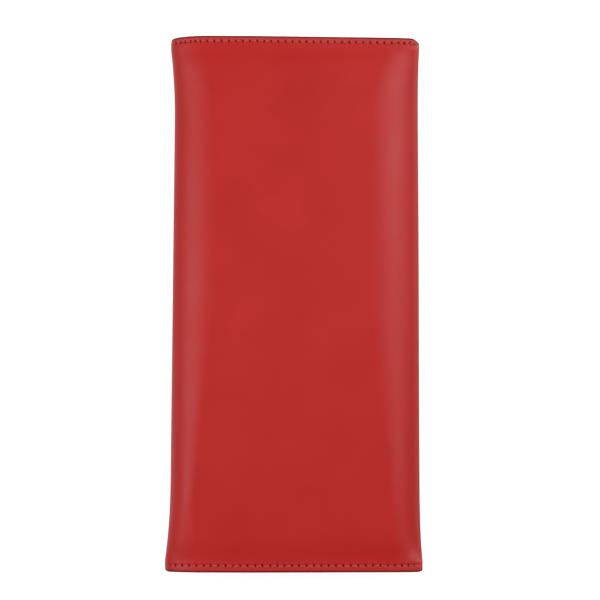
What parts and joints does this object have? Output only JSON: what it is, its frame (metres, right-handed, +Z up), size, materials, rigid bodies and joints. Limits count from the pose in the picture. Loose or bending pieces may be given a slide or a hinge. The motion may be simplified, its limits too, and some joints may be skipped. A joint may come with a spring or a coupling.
{
  "type": "travel document holder",
  "caption": "Tall bifold leather holder for travel documents, with a sleeve in each leaf, stepped card pockets and slip pockets, folding flat open at a soft round spine.",
  "frame": {"origin": "middle of the footprint of the closed holder, on the surface that its back cover lies on", "axes": "+X from the spine to the fore-edge, +Y along the length to the top edge, +Z up through the closed leaves to the front cover"},
  "size_m": [0.1135, 0.24, 0.0225],
  "materials": {
    "leather": "smooth semi-matt",
    "lining": "matt woven",
    "padding": "matt",
    "board": "matt"
  },
  "bodies": {
    "back_leaf": {"back_cover_leather": "leather", "back_padding": "padding", "back_board": "board", "back_lining": "lining", "ticket_pocket": "leather", "boarding_pass_pocket": "leather"},
    "spine": {"spine_leather": "leather", "spine_lining": "lining"},
    "front_leaf": {"front_cover_leather": "leather", "front_padding": "padding", "front_board": "board", "front_lining": "lining", "card_pocket_1": "leather", "card_pocket_2": "leather", "card_pocket_3": "leather"}
  },
  "joints": [
    {"name": "spine_fold", "type": "hinge", "parent": "back_leaf", "child": "spine", "pos_m": [-0.05307, 0, 0.00346], "axis": [0, -1, 0], "range_deg": [0, 90]},
    {"name": "cover_fold", "type": "hinge", "parent": "spine", "child": "front_leaf", "pos_m": [-0.05307, 0, 0.01899], "axis": [0, -1, 0], "range_deg": [0, 90]}
  ],
  "couplings": [
    {"joint": "spine_fold", "follows": "cover_fold", "ratio": 1}
  ]
}
